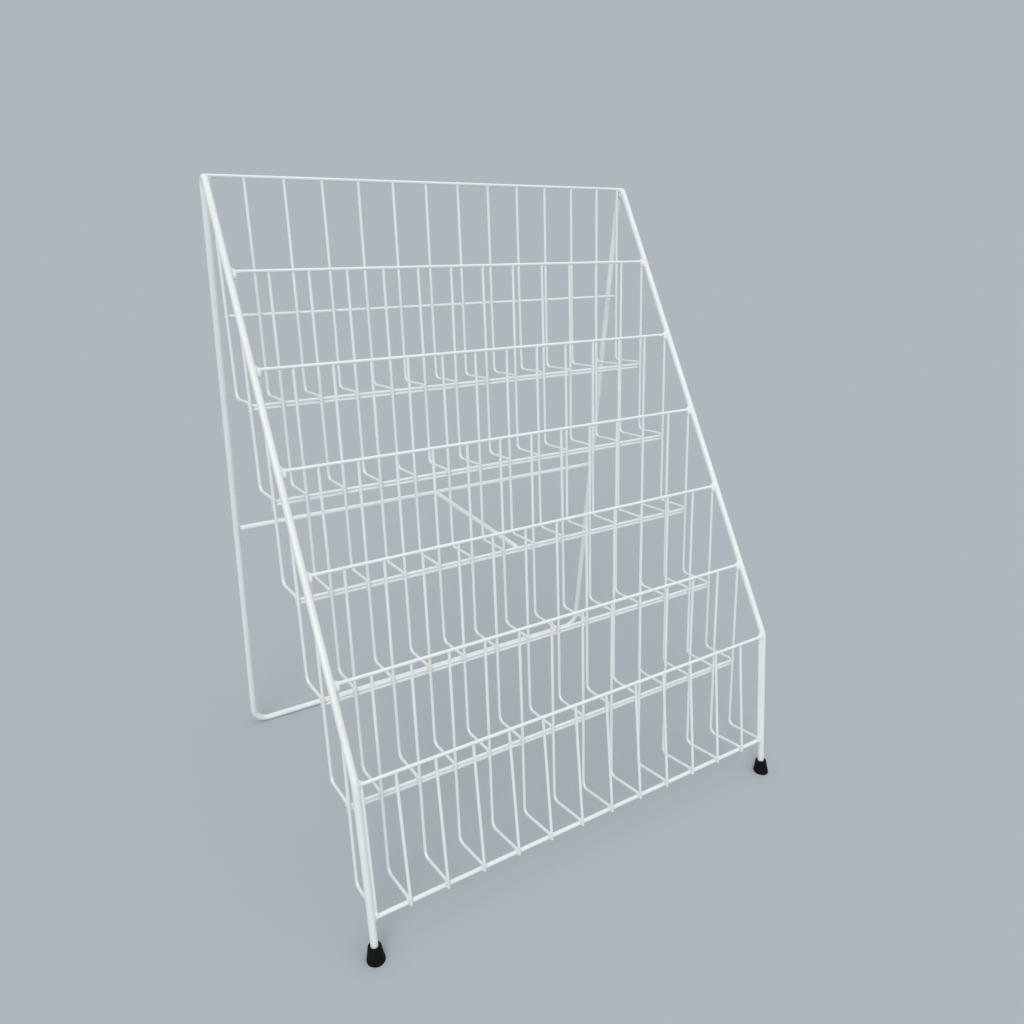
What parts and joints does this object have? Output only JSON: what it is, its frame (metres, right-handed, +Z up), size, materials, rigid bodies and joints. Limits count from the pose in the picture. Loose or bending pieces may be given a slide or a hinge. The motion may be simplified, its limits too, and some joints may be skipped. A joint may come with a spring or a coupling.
{
  "type": "tabletop book rack",
  "caption": "Free-standing white wire rack for a tabletop, with stepped sloping pockets that show books or leaflets face out, on a bent rod frame with black rubber feet.",
  "frame": {"origin": "centre of the footprint, on the surface that the rack stands on", "axes": "+Z up, -Y the way the pockets face, +X to the right of someone who faces the rack"},
  "size_m": [0.4136, 0.314, 0.5121],
  "materials": {
    "white_coat": "semi-gloss white powder coat over steel rod and wire",
    "black_rubber": "matt black moulded rubber"
  },
  "bodies": {
    "root": {"side_rod_left": "white_coat", "side_rod_right": "white_coat", "rear_frame": "white_coat", "rear_crossbar": "white_coat", "centre_brace": "white_coat", "top_bar": "white_coat", "lip_rail_1": "white_coat", "lip_rail_2": "white_coat", "lip_rail_3": "white_coat", "lip_rail_4": "white_coat", "lip_rail_5": "white_coat", "lip_rail_6": "white_coat", "mid_rail_1": "white_coat", "mid_rail_2": "white_coat", "mid_rail_3": "white_coat", "mid_rail_4": "white_coat", "mid_rail_5": "white_coat", "mid_rail_6": "white_coat", "pocket_wires_1": "white_coat", "pocket_wires_2": "white_coat", "pocket_wires_3": "white_coat", "pocket_wires_4": "white_coat", "pocket_wires_5": "white_coat", "pocket_wires_6": "white_coat", "lip_wire_01": "white_coat", "lip_wire_02": "white_coat", "lip_wire_03": "white_coat", "lip_wire_04": "white_coat", "lip_wire_05": "white_coat", "lip_wire_06": "white_coat", "lip_wire_07": "white_coat", "lip_wire_08": "white_coat", "lip_wire_09": "white_coat", "lip_wire_10": "white_coat", "lip_wire_11": "white_coat", "lip_wire_12": "white_coat", "lip_wire_13": "white_coat", "lip_wire_14": "white_coat", "rubber_foot_left": "black_rubber", "rubber_foot_right": "black_rubber"}
  },
  "joints": []
}
